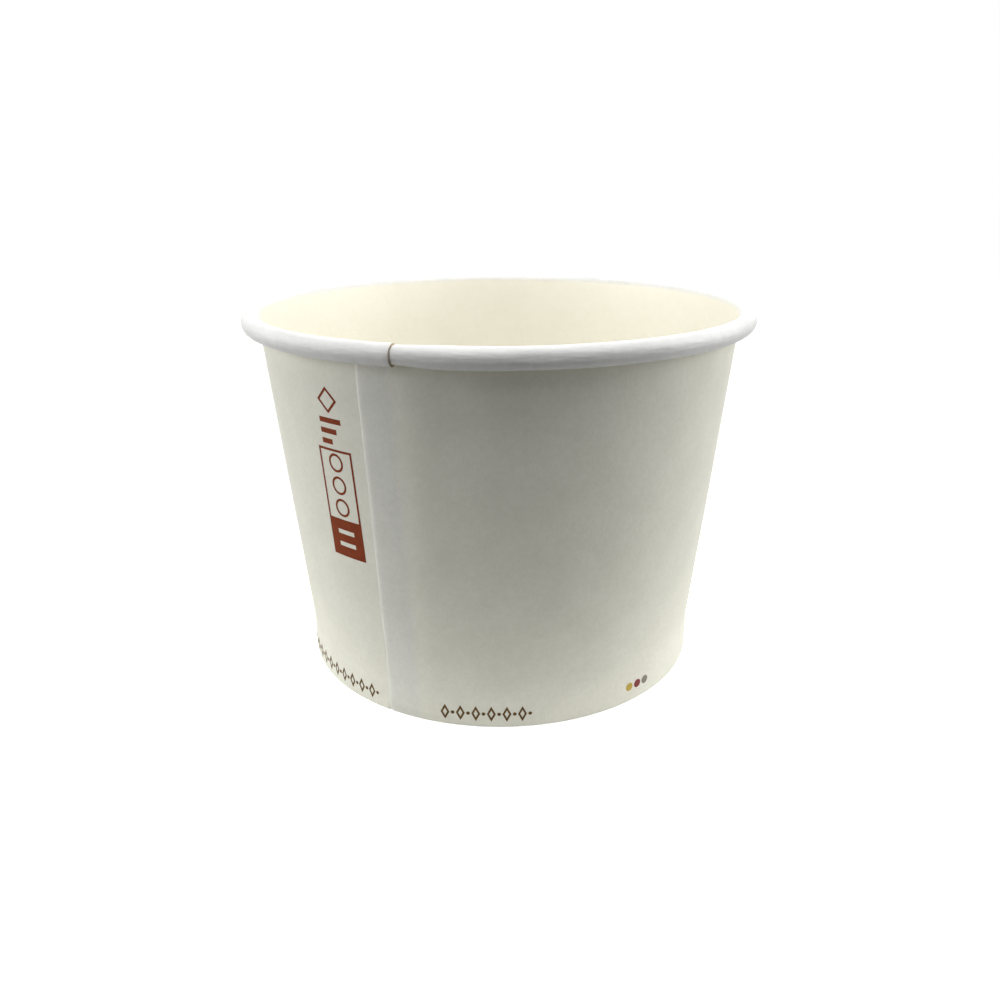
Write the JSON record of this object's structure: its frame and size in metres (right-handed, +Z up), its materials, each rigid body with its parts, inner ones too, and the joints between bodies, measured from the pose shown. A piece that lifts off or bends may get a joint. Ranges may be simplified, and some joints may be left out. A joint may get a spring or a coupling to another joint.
{
  "type": "soup cup",
  "caption": "Round paper soup cup with a leaning side wall, an outward rolled rim, a glued side seam, a recessed bottom disc and small plain printed marks.",
  "frame": {"origin": "centre of the circle the cup stands on, at the table's height", "axes": "+Z up along the cup's axis; -Y is the side that faces the viewer in the picture, with +X to the right and the glued seam at the front left"},
  "size_m": [0.115, 0.115, 0.083],
  "materials": {
    "wall_board": "matte uncoated board outside, faintly satin cream coating inside",
    "disc_board": "matte board with a faintly satin cream coating on top",
    "red_ink": "matte printed ink",
    "brown_ink": "matte printed ink",
    "yellow_ink": "matte printed ink",
    "plum_ink": "matte printed ink",
    "grey_ink": "matte printed ink"
  },
  "bodies": {
    "root": {"side_wall": "wall_board", "bottom_disc": "disc_board", "red_print": "red_ink", "brown_print": "brown_ink", "yellow_dot": "yellow_ink", "plum_dot": "plum_ink", "grey_dot": "grey_ink"}
  },
  "joints": []
}
